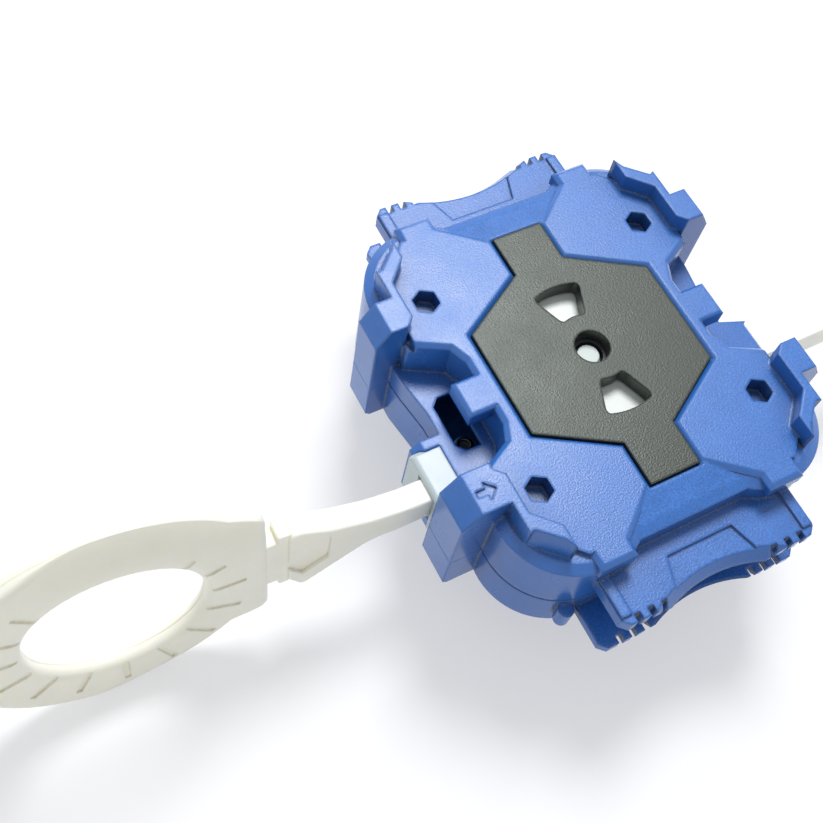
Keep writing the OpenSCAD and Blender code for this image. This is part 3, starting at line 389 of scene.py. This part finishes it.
def flat_faces(piece):
    """Joins a piece's coplanar triangles and leaves it in edit mode with nothing selected."""
    select_only(piece)
    bpy.ops.object.mode_set(mode="EDIT")
    bpy.ops.mesh.select_all(action="SELECT")
    bpy.ops.mesh.dissolve_limited(angle_limit=math.radians(FLAT_DEG))
    bpy.ops.mesh.select_all(action="DESELECT")
    bpy.ops.mesh.select_mode(type="EDGE")


def select_edges(piece, wanted):
    """Selects the edges whose two ends, in mm, meet a test, of a piece in edit mode."""
    shape = bmesh.from_edit_mesh(piece.data)
    for edge in shape.edges:
        edge.select_set(wanted(edge.verts[0].co / MM, edge.verts[1].co / MM))
    bmesh.update_edit_mesh(piece.data)


def at_window_corner(end_a, end_b):
    """An upright edge where a window's straight side meets one of its arcs."""
    if math.hypot(end_a.x - end_b.x, end_a.y - end_b.y) > 0.02:
        return False
    radius = math.hypot(end_a.x, end_a.y)
    angle = math.degrees(math.atan2(abs(end_a.x), abs(end_a.y)))
    on_arc = any(abs(radius - r) < 0.06 for r in WINDOW_RADII_MM)
    return on_arc and abs(angle - WINDOW_HALF_DEG) < 0.6


plate = whole_copy("badge_plate", "plate")
flat_faces(plate)
select_edges(plate, at_window_corner)
bpy.ops.mesh.bevel(offset=WINDOW_CORNER_MM * MM, segments=6, affect="EDGES")
bpy.ops.object.mode_set(mode="OBJECT")
# Moulded black ABS: a coarse grain spreads the window's sheen into an uneven, faintly green grey.
# Its colour carries a painted sparkle on the grain, and grime with painted shade in its corners.
plate_black = finish("black_abs_moulded", PLATE_HEX, roughness=0.38, grain_mm=0.34,
                     grain_height_mm=0.06, round_mm=0.6, mottle=0.16, grime_and_shade_hex=PLATE_GRIME_AND_SHADE_HEX,
                     scratch=0.12, dust=0.4, painted_sparkle=0.35, smooth_sides=True)
plate_shader = plate_black.node_tree.nodes["Principled BSDF"]
plate_shader.inputs["Specular Tint"].default_value = linear(PLATE_SHEEN_HEX)
dress(smooth(plate), plate_black, "case", "badge_plate")

# The inlet guide is a cool white acetal arch, dropped in the mouth of the case. The edge that faces
# the finger ring is rounded by less than the roof's thickness, which keeps the strip's way clear.
GUIDE_HEX = "B7C4C6"
# Grime with painted shade darkens the guide's corners.
GUIDE_GRIME_AND_SHADE_HEX = "8D8F88"
GUIDE_ROUND_MM = 0.9
GUIDE_NOSE_MM = 1.6
guide = whole_copy("winder_guide", "guide")
guide_low, guide_high = [Vector(corner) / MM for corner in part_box("winder_guide")]


def at_guide_nose(end_a, end_b):
    """An edge at the top of the face towards the finger ring."""
    for end in (end_a, end_b):
        if end.x > guide_low.x + 0.05 or end.z < guide_low.z + 0.5:
            return False
    return (end_a.z + end_b.z) / 2 > guide_high.z - GUIDE_NOSE_MM


flat_faces(guide)
select_edges(guide, at_guide_nose)
bpy.ops.mesh.bevel(offset=GUIDE_ROUND_MM * MM, segments=8, affect="EDGES")
bpy.ops.object.mode_set(mode="OBJECT")
# Moulded acetal: smooth and waxy, with a soft cool gleam.
guide_white = finish("white_acetal_moulded", GUIDE_HEX, roughness=0.36, grain_mm=0.5,
                     grain_height_mm=0.006, round_mm=0.5, mottle=0.03, grime_and_shade_hex=GUIDE_GRIME_AND_SHADE_HEX)
dress(smooth(guide), guide_white, "case", "winder_guide")

# The winder is one moulding of natural nylon, aged to cream. Its toothed strip keeps the CAD shape.
# The strip is cut off inside the guide, where the handle's moulding takes over.
NYLON_HEX = "F8F6E8"
# Grime with painted shade darkens the handle's corners.
NYLON_GRIME_AND_SHADE_HEX = "C9BA98"
NYLON_DEPTH_MM = 3
STRIP_CUT_MM = -31.0
# Moulded nylon: light sinks a little way in, so the shadows stay soft and warm.
winder_cream = finish("natural_nylon_moulded", NYLON_HEX, roughness=0.40, grain_mm=0.9,
                      grain_height_mm=0.008, round_mm=0.4, mottle=0.02, grime_and_shade_hex=NYLON_GRIME_AND_SHADE_HEX)
nylon = winder_cream.node_tree.nodes["Principled BSDF"]
nylon.inputs["Subsurface Weight"].default_value = 0.4
nylon.inputs["Subsurface Radius"].default_value = (1.0, 0.85, 0.55)
nylon.inputs["Subsurface Scale"].default_value = NYLON_DEPTH_MM * MM
strip = whole_copy("winder", "winder_strip")
bpy.ops.object.mode_set(mode="EDIT")
bpy.ops.mesh.select_all(action="SELECT")
bpy.ops.mesh.bisect(plane_co=(STRIP_CUT_MM * MM, 0, 0), plane_no=(1, 0, 0), clear_inner=True,
                    use_fill=True)
bpy.ops.object.mode_set(mode="OBJECT")
dress(smooth(strip), winder_cream, "winder", "winder")

# The neck joins the strip to the finger ring, with a recessed panel in front and two collar steps.
# The moulding is bent a few degrees out of the strip's line, over the stretch outside the guide.
FLEX_DEG = (-4.7, 0.9, -2.5)
FLEX_PIVOT_MM = Vector((-35.8, -10.8, -12.6))
FLEX_STRETCH_MM = 11.0
FLEX_CUTS = 10
FLEX_FIRST_CUT_MM = 0.5
FLEX_CUT_STEP_MM = 1.2
STRIP_MID_MM = -12.6
NECK_FRONT_MM = -10.8
NECK_BACK_MM = -6.4
NECK_END_MM = -30.0
NECK_EDGE_MM = 0.45
NECK_OUTLINE_MM = [(-60.7, -19.5, 0.9), (-58.4, -23.0, 1.1), (-46.0, -15.9, 9.0),
                   (NECK_END_MM, -15.9, 0.0), (NECK_END_MM, -9.3, 0.0), (-46.0, -9.3, 7.0),
                   (-53.4, -7.2, 7.0), (-60.7, -3.4, 1.5)]
PANEL_OUTLINE_MM = [(-61.5, -15.4, 0), (-61.0, -15.4, 0.2), (-58.3, -18.9, 0.3),
                    (-53.7, -16.2, 0.8), (-53.6, -8.6, 0.8), (-56.0, -6.9, 1.0), (-61.5, -5.6, 0)]
PANEL_DEPTH_MM = 0.65
PANEL_LEAST_MM = 0.03
PANEL_RISE_MM = (-14.0, -7.0)
PANEL_PROUD_MM = 1.0
COLLAR_STEPS_MM = ((-64.6, -61.8, 6.6), (-62.4, -60.2, 8.2))
COLLAR_FRONT_MM = -10.2
COLLAR_EDGE_MM = 0.35
TOUCH_MM = 0.01


def rounded(corners, steps=7):
    """An outline's points, with each corner (x, z, radius) turned into an arc."""
    points = []
    for i, (x, z, radius) in enumerate(corners):
        here = Vector((x, z))
        back = (Vector(corners[i - 1][:2]) - here).normalized()
        on = (Vector(corners[(i + 1) % len(corners)][:2]) - here).normalized()
        if not radius:
            points.append(here)
            continue
        half = back.angle(on) / 2
        reach = radius / math.tan(half)
        centre = here + (back + on).normalized() * radius / math.sin(half)
        start, end = here + back * reach - centre, here + on * reach - centre
        for k in range(steps + 1):
            points.append(centre + start.slerp(end, k / steps).normalized() * radius)
    return points


def slab(name, corners, front, back):
    """A flat moulding between two planes, from its outline seen from the front, in edit mode."""
    points = rounded(corners)
    bpy.ops.object.select_all(action="DESELECT")
    bpy.ops.mesh.primitive_circle_add(vertices=len(points), fill_type="NGON")
    piece = bpy.context.object
    piece.name = name
    piece.data.name = name
    for vertex, point in zip(piece.data.vertices, points):
        vertex.co = Vector((point.x, front, point.y)) * MM
    bpy.ops.object.mode_set(mode="EDIT")
    bpy.ops.mesh.select_all(action="SELECT")
    bpy.ops.mesh.extrude_region_move(TRANSFORM_OT_translate={"value": (0, (back - front) * MM, 0)})
    bpy.ops.mesh.select_all(action="SELECT")
    bpy.ops.mesh.normals_make_consistent(inside=False)
    bpy.ops.mesh.select_all(action="DESELECT")
    bpy.ops.mesh.select_mode(type="EDGE")
    return piece


def bar(centre, size, edge, segments):
    """A block with bevelled edges, all in mm."""
    bpy.ops.object.select_all(action="DESELECT")
    bpy.ops.mesh.primitive_cube_add(size=1, location=[c * MM for c in centre],
                                    scale=[s * MM for s in size])
    bpy.ops.object.transform_apply(location=True, rotation=True, scale=True)
    bpy.ops.object.mode_set(mode="EDIT")
    bpy.ops.mesh.select_all(action="SELECT")
    bpy.ops.mesh.bevel(offset=edge * MM, segments=segments, affect="EDGES")
    bpy.ops.object.mode_set(mode="OBJECT")
    return bpy.context.object


def combine(piece, other, operation):
    """Cuts another solid out of a piece, or joins it on, and removes the other."""
    select_only(piece)
    step = piece.modifiers.new("solid", "BOOLEAN")
    step.object = other
    step.operation = operation
    step.solver = "EXACT"
    bpy.ops.object.modifier_apply(modifier=step.name)
    bpy.data.objects.remove(other)


def smooth_step(value, start, end):
    """0 before the start and 1 after the end, with a soft rise between them."""
    share = max(0.0, min(1.0, (value - start) / (end - start)))
    return share * share * (3 - 2 * share)


def at_neck_rim(end_a, end_b):
    """An edge of the front or back face, apart from the neck's end inside the guide."""
    return (abs(end_a.y - end_b.y) < TOUCH_MM and max(end_a.x, end_b.x) < NECK_END_MM + TOUCH_MM
            and min(end_a.x, end_b.x) < NECK_END_MM - TOUCH_MM)


flex_turn = Euler([math.radians(a) for a in FLEX_DEG]).to_matrix().to_4x4()
flex = Matrix.Translation(FLEX_PIVOT_MM) @ flex_turn @ Matrix.Translation(-FLEX_PIVOT_MM)
neck = slab("winder_handle", NECK_OUTLINE_MM, NECK_FRONT_MM, NECK_BACK_MM)
select_edges(neck, at_neck_rim)
bpy.ops.mesh.bevel(offset=NECK_EDGE_MM * MM, segments=3, affect="EDGES")
for i in range(FLEX_CUTS):
    cut_x = FLEX_PIVOT_MM.x - FLEX_FIRST_CUT_MM - i * FLEX_CUT_STEP_MM
    bpy.ops.mesh.select_all(action="SELECT")
    bpy.ops.mesh.bisect(plane_co=(cut_x * MM, 0, 0), plane_no=(1, 0, 0))
bpy.ops.object.mode_set(mode="OBJECT")
panel = slab("panel", PANEL_OUTLINE_MM, NECK_FRONT_MM - PANEL_PROUD_MM,
             NECK_FRONT_MM + PANEL_DEPTH_MM)
bpy.ops.object.mode_set(mode="OBJECT")
for vertex in panel.data.vertices:
    rise = smooth_step(vertex.co.z / MM, *PANEL_RISE_MM)
    vertex.co.y -= rise * (PANEL_DEPTH_MM - PANEL_LEAST_MM) * MM
combine(neck, panel, "DIFFERENCE")
for x_low, x_high, half in COLLAR_STEPS_MM:
    collar_step = bar(((x_low + x_high) / 2, (COLLAR_FRONT_MM + NECK_BACK_MM) / 2, STRIP_MID_MM),
                      (x_high - x_low, NECK_BACK_MM - COLLAR_FRONT_MM, 2 * half),
                      COLLAR_EDGE_MM, 3)
    combine(neck, collar_step, "UNION")
for vertex in neck.data.vertices:
    bent = flex @ (vertex.co / MM) * MM
    straight = smooth_step(vertex.co.x / MM, FLEX_PIVOT_MM.x - FLEX_STRETCH_MM, FLEX_PIVOT_MM.x)
    vertex.co = vertex.co.lerp(bent, 1 - straight)

# The finger ring ends the handle. Its hole flares to the front, where short grooves give grip.
# Above, the face falls away to a thin edge, and a flat end meets the collar.
RING_CENTRE_MM = Vector((-88.8, -8.6, -12.6))
RING_RADIUS_MM = 25.4
RING_FLAT_MM = 24.7
RING_SHOULDER_MM = 23.875
RING_SHOULDER_DEG = 61.3
RING_STEPS = 180
RING_FACE_MM = 16.0
RING_MERGE_MM = 0.005
RING_TOP_FALL = 0.86
RING_TOP_DEG = (12, 38, 92, 126)
RING_LOW_FALL = 0.6
RING_LOW_DEG = (30, 45, 75, 110)
RING_LOW_FROM = 0.6
RING_FRONT_MM = [(14.55, 0.0), (14.4, 0.14), (14.42, 0.6), (14.65, 1.1), (15.05, 1.48),
                 (15.6, 1.75), (16.3, 1.9), (17.5, 1.9), (18.7, 1.9), (19.9, 1.9), (21.1, 1.9),
                 (22.3, 1.9), (23.3, 1.9), (24.1, 1.9), (24.7, 1.78), (25.15, 1.45),
                 (25.38, 1.0), (25.4, 0.16), (25.28, 0.0)]
GROOVE_COUNT = 13
GROOVE_STEP_DEG = 22.5
GROOVE_START_DEG = -43
GROOVE_INNER_MM = 15.3
GROOVE_LENGTH_MM = 6.3
GROOVE_FIRST_SHORTER_MM = 4.0
GROOVE_FIRST_DEG = (-43, 20)
GROOVE_LAST_SHORTER_MM = 1.6
GROOVE_LAST_DEG = (150, 200)
GROOVE_WIDTH_MM = 1.05
GROOVE_DEEP_MM = 1.0
GROOVE_FACE_MM = -2.0
GROOVE_EDGE_MM = 0.15
ring_section = RING_FRONT_MM + [(r, -w) for r, w in reversed(RING_FRONT_MM[1:-1])]
bpy.ops.object.select_all(action="DESELECT")
bpy.ops.mesh.primitive_circle_add(vertices=len(ring_section))
ring = bpy.context.object
ring.name = "ring"
for vertex, (r, w) in zip(ring.data.vertices, ring_section):
    vertex.co = Vector((r, -w, 0)) * MM
bpy.ops.object.mode_set(mode="EDIT")
bpy.ops.mesh.select_all(action="SELECT")
bpy.ops.mesh.spin(steps=RING_STEPS, angle=math.tau, center=(0, 0, 0), axis=(0, 1, 0))
bpy.ops.mesh.select_all(action="SELECT")
bpy.ops.mesh.remove_doubles(threshold=RING_MERGE_MM * MM)
bpy.ops.mesh.normals_make_consistent(inside=False)
bpy.ops.object.mode_set(mode="OBJECT")


def between(value, rise_start, rise_end, drop_start, drop_end):
    """A soft rise and a soft drop again."""
    return smooth_step(value, rise_start, rise_end) * (1 - smooth_step(value, drop_start, drop_end))


for vertex in ring.data.vertices:
    u, w, v = vertex.co.x / MM, -vertex.co.y / MM, vertex.co.z / MM
    r, turn = math.hypot(u, v), math.degrees(math.atan2(v, u))
    reach = RING_RADIUS_MM
    if abs(turn) < RING_SHOULDER_DEG:
        shoulder = math.cos(math.radians(abs(turn) - RING_SHOULDER_DEG))
        reach = max(reach, RING_SHOULDER_MM / shoulder)
        reach = min(reach, RING_FLAT_MM / math.cos(math.radians(turn)))
    share = max(0.0, (r - RING_FACE_MM) / (RING_RADIUS_MM - RING_FACE_MM))
    if share:
        r = RING_FACE_MM + share * (reach - RING_FACE_MM)
    if turn > 0:
        fall = RING_TOP_FALL * between(turn, *RING_TOP_DEG)
        fall *= smooth_step(share, 0.0, 1.0)
    else:
        fall = RING_LOW_FALL * between(-turn, *RING_LOW_DEG)
        fall *= smooth_step(share, RING_LOW_FROM, 1.0)
    if w > 0:
        w *= 1 - fall
    along, up = r * math.cos(math.radians(turn)), r * math.sin(math.radians(turn))
    vertex.co = Vector((along, -w, up)) * MM
for i in range(GROOVE_COUNT):
    down = GROOVE_START_DEG + i * GROOVE_STEP_DEG
    length = GROOVE_LENGTH_MM
    length -= GROOVE_FIRST_SHORTER_MM * (1 - smooth_step(down, *GROOVE_FIRST_DEG))
    length -= GROOVE_LAST_SHORTER_MM * smooth_step(down, *GROOVE_LAST_DEG)
    groove = bar((GROOVE_INNER_MM + length / 2, GROOVE_FACE_MM, 0),
                 (length, GROOVE_DEEP_MM, GROOVE_WIDTH_MM), GROOVE_EDGE_MM, 2)
    groove.data.transform(Matrix.Rotation(math.radians(down), 4, "Y"))
    combine(ring, groove, "DIFFERENCE")
ring.data.transform(Matrix.Scale(1 / MM, 4))
ring.data.transform(Matrix.Scale(MM, 4) @ flex @ Matrix.Translation(RING_CENTRE_MM))
combine(neck, ring, "UNION")
HANDLE_SMOOTH_DEG = 32
dress(smooth(neck, HANDLE_SMOOTH_DEG), winder_cream, "winder", "winder")

# A blackened steel screw holds the guide. Its round socket head stands on a boss, seen through the
# slot in the floor of the inlet recess, and its shank goes down into the boss.
SCREW_HEX = "4A4D55"
SCREW_HEAD_MM = 1.0
SCREW_SOCKET_MM = 0.9
SCREW_SOCKET_DEEP_MM = 0.7
SCREW_SHANK_MM = 0.65
SCREW_EDGE_MM = 0.2
# Blackened steel: a dark metal with a narrow gleam on its rim.
blackened = finish("blackened_steel", SCREW_HEX, roughness=0.34, grain_mm=0.3,
                   grain_height_mm=0.004, round_mm=0.2, mottle=0.06, metallic=1.0)
screw_low, screw_high = [Vector(corner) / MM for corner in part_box("guide_screw")]
screw_mid = (screw_low + screw_high) / 2
screw_radius = (screw_high.x - screw_low.x) / 2
bpy.ops.object.select_all(action="DESELECT")
bpy.ops.mesh.primitive_cylinder_add(
    vertices=40, radius=screw_radius * MM, depth=SCREW_HEAD_MM * MM,
    location=(screw_mid.x * MM, screw_mid.y * MM, (screw_high.z - SCREW_HEAD_MM / 2) * MM))
bpy.ops.object.transform_apply(location=True)
screw = bpy.context.object
screw.name = "socket_screw"
screw.data.name = "socket_screw"
bpy.ops.object.mode_set(mode="EDIT")
for upwards, reach, travel in ((1, SCREW_SOCKET_MM, -SCREW_SOCKET_DEEP_MM),
                               (-1, SCREW_SHANK_MM, screw_low.z - screw_high.z + SCREW_HEAD_MM)):
    bpy.ops.mesh.select_mode(type="FACE")
    bpy.ops.mesh.select_all(action="DESELECT")
    shape = bmesh.from_edit_mesh(screw.data)
    for face in shape.faces:
        face.select_set(face.normal.z * upwards > 0.9)
    bmesh.update_edit_mesh(screw.data)
    bpy.ops.mesh.inset(thickness=(screw_radius - reach) * MM)
    bpy.ops.mesh.extrude_region_move(TRANSFORM_OT_translate={"value": (0, 0, travel * MM)})
bpy.ops.mesh.select_all(action="DESELECT")
bpy.ops.mesh.select_mode(type="EDGE")
select_edges(screw, lambda end_a, end_b: min(end_a.z, end_b.z) > screw_high.z - TOUCH_MM)
bpy.ops.mesh.bevel(offset=SCREW_EDGE_MM * MM, segments=3, affect="EDGES")
bpy.ops.object.mode_set(mode="OBJECT")
dress(smooth(screw), blackened, "case", "guide_screw")

# The inner pieces keep their CAD shapes: white acetal gear and pin, dark ratchet and bush, a bronze
# ring in the floor, a blackened spindle and bright steel screws.
# Grime with painted shade darkens the corners of the white inner pieces.
INNER_GRIME_AND_SHADE_HEX = "7A7C76"
# Moulded acetal: the gear's disc shows plain and pale in the windows of the plate.
inner_white = finish("white_acetal_inner", "E2E9E5", roughness=0.38, grain_mm=0.4,
                     grain_height_mm=0.006, round_mm=0.25, mottle=0.03, grime_and_shade_hex=INNER_GRIME_AND_SHADE_HEX)
# The same acetal painted a little greyer than the disc, as painted shade on the pin's head.
pin_white_painted_shade = finish("white_acetal_pin_painted_shade", "CAD6D2", roughness=0.42, grain_mm=0.4,
                   grain_height_mm=0.006, round_mm=0.25, mottle=0.03, grime_and_shade_hex=INNER_GRIME_AND_SHADE_HEX)
# Black acetal: a dark waxy bearing that only shows as depth.
inner_dark = finish("dark_acetal_inner", "24262B", roughness=0.45, grain_mm=0.4,
                    grain_height_mm=0.006, round_mm=0.2, mottle=0.06)
# Sintered bronze: a dull brown-yellow metal with a fine pore.
bronze = finish("sintered_bronze", "B08A4A", roughness=0.4, grain_mm=0.2,
                grain_height_mm=0.006, round_mm=0.2, mottle=0.08, metallic=1.0)
# Zinc-plated steel: a bright, slightly soft metal gleam.
steel = finish("zinc_plated_steel", "B4B6BA", roughness=0.3, grain_mm=0.2,
               grain_height_mm=0.003, round_mm=0.2, mottle=0.05, metallic=1.0)
inner = {"drive_gear": inner_white, "push_pin": pin_white_painted_shade, "pin_cap": pin_white_painted_shade,
         "clutch_dog": inner_dark, "clutch_collar": inner_dark, "upper_bush": inner_dark,
         "spindle": blackened, "lower_bush": bronze, "prong_holder": case_blue}
for name, node in frame["nodes"].items():
    node.data.materials.clear()
    node.data.materials.append(inner.get(name, steel))

# Two coil springs of drawn wire work below the gear: one holds the ratchet up, one returns the pin.
# Each rides on the piece it pushes.
COIL_SMOOTH_DEG = 60
# Drawn spring wire: a hard grey metal with a tight gleam along each turn.
spring_wire = finish("drawn_spring_wire", "8E9196", roughness=0.28, grain_mm=0.2,
                     grain_height_mm=0.003, round_mm=0.1, mottle=0.05, metallic=1.0)
travel = {joint["name"]: joint["range_m"][1]
          for joint in frame["record"]["behaviour"]["joints"] if "range_m" in joint}
for node_name, piece_name, body, joint_name, held_end in (
        ("pin_spring", "pin_coil", "pin", "pin_lift", 0),
        ("clutch_spring", "ratchet_coil", "dog", "ratchet_click", 1)):
    coil = smooth(whole_copy(node_name, piece_name), COIL_SMOOTH_DEG)
    dress(coil, spring_wire, body, node_name)
    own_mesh(coil)
